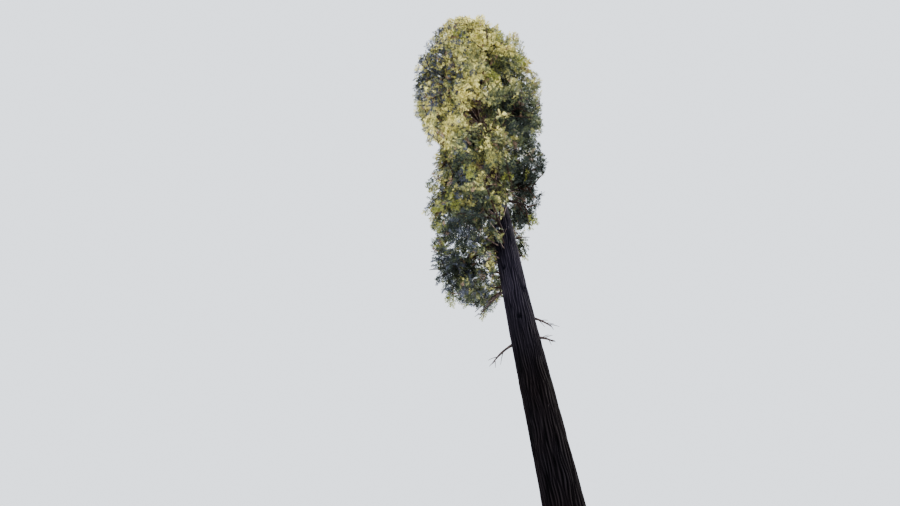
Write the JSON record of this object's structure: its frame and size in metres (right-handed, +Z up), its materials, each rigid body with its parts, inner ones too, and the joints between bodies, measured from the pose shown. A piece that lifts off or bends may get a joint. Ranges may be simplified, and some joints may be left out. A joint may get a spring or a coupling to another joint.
{
  "type": "redwood tree",
  "caption": "Tall narrow conifer with one straight flared trunk, spiral boughs and separate masses of drooping needle sprays.",
  "frame": {"origin": "centre of the flat cut under the trunk, at ground level", "axes": "+Z up along the trunk; +Y level, away from the viewer of the picture; +X to that viewer's right"},
  "size_m": [5.7555, 5.754, 39.9757],
  "materials": {
    "bark": "matt, deeply furrowed fibrous bark",
    "bough_bark": "matt, rough thin bark",
    "needles": "satin flat needles, yellow green to dark green"
  },
  "bodies": {
    "root": {"bough_01": "bough_bark", "bough_02": "bough_bark", "bough_03": "bough_bark", "bough_04": "bough_bark", "bough_05": "bough_bark", "bough_06": "bough_bark", "bough_07": "bough_bark", "bough_08": "bough_bark", "bough_09": "bough_bark", "bough_10": "bough_bark", "bough_11": "bough_bark", "bough_12": "bough_bark", "bough_13": "bough_bark", "bough_14": "bough_bark", "bough_15": "bough_bark", "bough_16": "bough_bark", "bough_17": "bough_bark", "bough_18": "bough_bark", "bough_19": "bough_bark", "bough_20": "bough_bark", "bough_21": "bough_bark", "bough_22": "bough_bark", "bough_23": "bough_bark", "bough_24": "bough_bark", "bough_25": "bough_bark", "bough_26": "bough_bark", "bough_27": "bough_bark", "bough_28": "bough_bark", "bough_29": "bough_bark", "mass_01": "needles", "mass_02": "needles", "mass_03": "needles", "mass_04": "needles", "mass_05": "needles", "mass_06": "needles", "mass_07": "needles", "mass_08": "needles", "mass_09": "needles", "mass_10": "needles", "mass_11": "needles", "mass_12": "needles", "mass_13": "needles", "mass_14": "needles", "mass_15": "needles", "mass_16": "needles", "mass_17": "needles", "mass_18": "needles", "mass_19": "needles", "mass_20": "needles", "mass_21": "needles", "mass_22": "needles", "mass_23": "needles", "mass_24": "needles", "mass_25": "needles", "mass_26": "needles", "mass_27": "needles", "mass_28": "needles", "mass_29": "needles", "mass_top": "needles", "trunk": "bark"}
  },
  "joints": []
}
